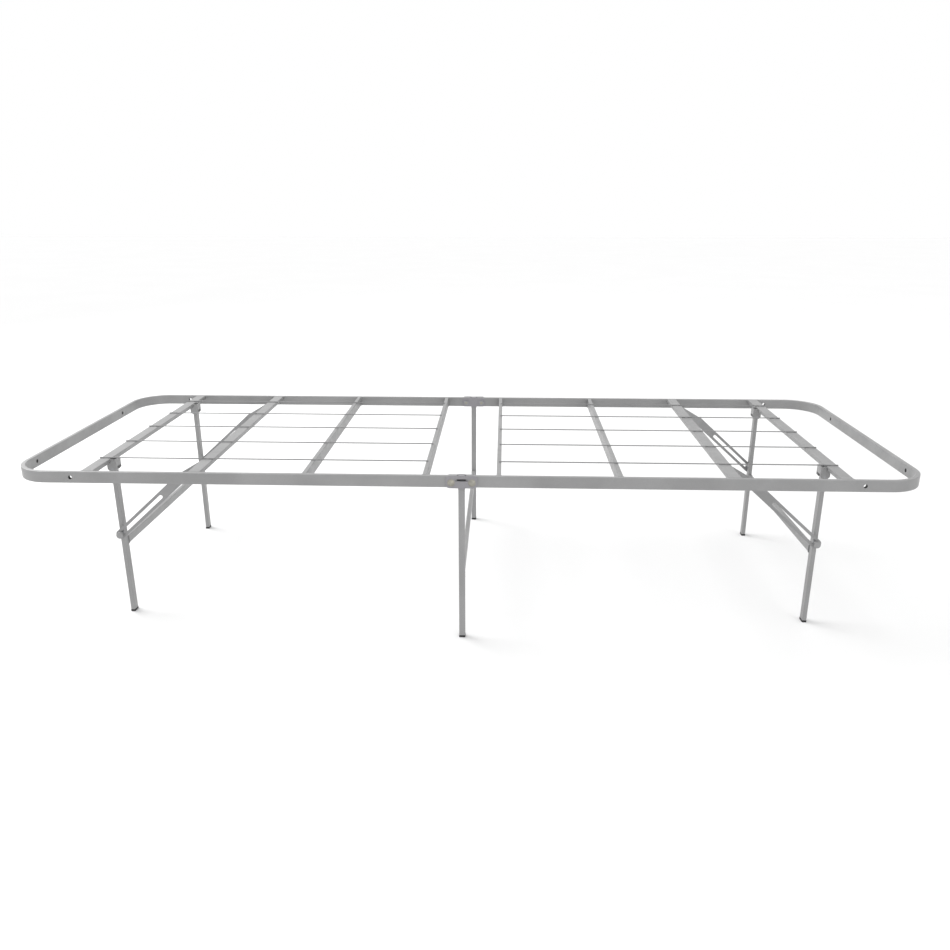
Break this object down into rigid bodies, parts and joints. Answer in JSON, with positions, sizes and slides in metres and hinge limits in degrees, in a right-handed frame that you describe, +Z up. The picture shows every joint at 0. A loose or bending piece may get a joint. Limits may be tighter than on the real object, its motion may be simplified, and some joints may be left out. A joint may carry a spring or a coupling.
{
  "type": "folding platform bed frame",
  "caption": "Folding steel platform bed frame: two hinged half decks with crossbars and lengthwise wires, on folding H-shaped end legs with slotted stays and a centre leg frame.",
  "frame": {"origin": "on the floor, under the middle of the bed", "axes": "+X along the bed's length, +Y across it to the far side, +Z up"},
  "size_m": [2.032, 0.7678, 0.3973],
  "materials": {
    "frame_steel": "satin silver-grey powder coat",
    "stay_steel": "satin silver-grey powder coat on flat plate",
    "bracket_steel": "satin grey coat on pressed plate",
    "wire_steel": "satin silver-grey coat on drawn wire",
    "knob_finish": "satin grey",
    "zinc_yellow": "pale yellow zinc plating",
    "zinc_clear": "clear zinc plating",
    "foot_plastic": "matt black moulded plastic"
  },
  "bodies": {
    "centre_frame": {"near_hinge_bracket": "bracket_steel", "far_hinge_bracket": "bracket_steel", "near_centre_leg": "frame_steel", "far_centre_leg": "frame_steel", "centre_cross_member": "frame_steel", "hinge_bolts": "zinc_yellow", "hinge_nuts": "zinc_clear", "centre_foot_caps": "foot_plastic"},
    "left_deck": {"left_rail": "frame_steel", "left_crossbar_1": "frame_steel", "left_crossbar_2": "frame_steel", "left_crossbar_3": "frame_steel", "left_crossbar_4": "frame_steel", "left_support_wires": "wire_steel", "left_leg_pivot_pins": "zinc_clear", "left_stay_rivets": "zinc_clear", "left_near_leg_bracket": "frame_steel", "left_near_stay_tab": "frame_steel", "left_far_leg_bracket": "frame_steel", "left_far_stay_tab": "frame_steel"},
    "left_legs": {"left_near_leg": "frame_steel", "left_far_leg": "frame_steel", "left_leg_cross_member": "frame_steel", "left_foot_caps": "foot_plastic"},
    "left_near_stay": {"left_near_stay": "stay_steel"},
    "left_near_knob": {"left_near_knob": "knob_finish", "left_near_lock_bolt": "zinc_clear"},
    "left_far_stay": {"left_far_stay": "stay_steel"},
    "left_far_knob": {"left_far_knob": "knob_finish", "left_far_lock_bolt": "zinc_clear"},
    "right_deck": {"right_rail": "frame_steel", "right_crossbar_1": "frame_steel", "right_crossbar_2": "frame_steel", "right_crossbar_3": "frame_steel", "right_crossbar_4": "frame_steel", "right_support_wires": "wire_steel", "right_leg_pivot_pins": "zinc_clear", "right_stay_rivets": "zinc_clear", "right_near_leg_bracket": "frame_steel", "right_near_stay_tab": "frame_steel", "right_far_leg_bracket": "frame_steel", "right_far_stay_tab": "frame_steel"},
    "right_legs": {"right_near_leg": "frame_steel", "right_far_leg": "frame_steel", "right_leg_cross_member": "frame_steel", "right_foot_caps": "foot_plastic"},
    "right_near_stay": {"right_near_stay": "stay_steel"},
    "right_near_knob": {"right_near_knob": "knob_finish", "right_near_lock_bolt": "zinc_clear"},
    "right_far_stay": {"right_far_stay": "stay_steel"},
    "right_far_knob": {"right_far_knob": "knob_finish", "right_far_lock_bolt": "zinc_clear"}
  },
  "joints": [
    {"name": "left_deck_fold", "type": "hinge", "parent": "centre_frame", "child": "left_deck", "pos_m": [-0.023, 0, 0.3797], "axis": [0, 1, 0], "range_deg": [0, 90]},
    {"name": "left_legs_fold", "type": "hinge", "parent": "left_deck", "child": "left_legs", "pos_m": [-0.8193, 0, 0.3705], "axis": [0, -1, 0], "range_deg": [0, 90]},
    {"name": "left_near_stay_swing", "type": "hinge", "parent": "left_deck", "child": "left_near_stay", "pos_m": [-0.6602, -0.2828, 0.35], "axis": [0, 1, 0], "range_deg": [0, 41.87]},
    {"name": "left_near_knob_turn", "type": "hinge", "parent": "left_near_stay", "child": "left_near_knob", "pos_m": [-0.8193, -0.2858, 0.2074], "axis": [0, -1, 0], "range_deg": [0, 360]},
    {"name": "left_far_stay_swing", "type": "hinge", "parent": "left_deck", "child": "left_far_stay", "pos_m": [-0.6602, 0.2828, 0.35], "axis": [0, 1, 0], "range_deg": [0, 41.87]},
    {"name": "left_far_knob_turn", "type": "hinge", "parent": "left_far_stay", "child": "left_far_knob", "pos_m": [-0.8193, 0.2858, 0.2074], "axis": [0, 1, 0], "range_deg": [0, 360]},
    {"name": "right_deck_fold", "type": "hinge", "parent": "centre_frame", "child": "right_deck", "pos_m": [0.023, 0, 0.3797], "axis": [0, -1, 0], "range_deg": [0, 90]},
    {"name": "right_legs_fold", "type": "hinge", "parent": "right_deck", "child": "right_legs", "pos_m": [0.8193, 0, 0.3705], "axis": [0, 1, 0], "range_deg": [0, 90]},
    {"name": "right_near_stay_swing", "type": "hinge", "parent": "right_deck", "child": "right_near_stay", "pos_m": [0.6602, -0.2828, 0.35], "axis": [0, -1, 0], "range_deg": [0, 41.87]},
    {"name": "right_near_knob_turn", "type": "hinge", "parent": "right_near_stay", "child": "right_near_knob", "pos_m": [0.8193, -0.2858, 0.2074], "axis": [0, -1, 0], "range_deg": [0, 360]},
    {"name": "right_far_stay_swing", "type": "hinge", "parent": "right_deck", "child": "right_far_stay", "pos_m": [0.6602, 0.2828, 0.35], "axis": [0, -1, 0], "range_deg": [0, 41.87]},
    {"name": "right_far_knob_turn", "type": "hinge", "parent": "right_far_stay", "child": "right_far_knob", "pos_m": [0.8193, 0.2858, 0.2074], "axis": [0, 1, 0], "range_deg": [0, 360]}
  ],
  "couplings": [
    {"joint": "left_near_stay_swing", "follows": "left_legs_fold", "ratio": 0.46522},
    {"joint": "left_near_knob_turn", "follows": "left_legs_fold", "ratio": 4},
    {"joint": "left_far_stay_swing", "follows": "left_legs_fold", "ratio": 0.46522},
    {"joint": "left_far_knob_turn", "follows": "left_legs_fold", "ratio": 4},
    {"joint": "right_near_stay_swing", "follows": "right_legs_fold", "ratio": 0.46522},
    {"joint": "right_near_knob_turn", "follows": "right_legs_fold", "ratio": 4},
    {"joint": "right_far_stay_swing", "follows": "right_legs_fold", "ratio": 0.46522},
    {"joint": "right_far_knob_turn", "follows": "right_legs_fold", "ratio": 4}
  ]
}
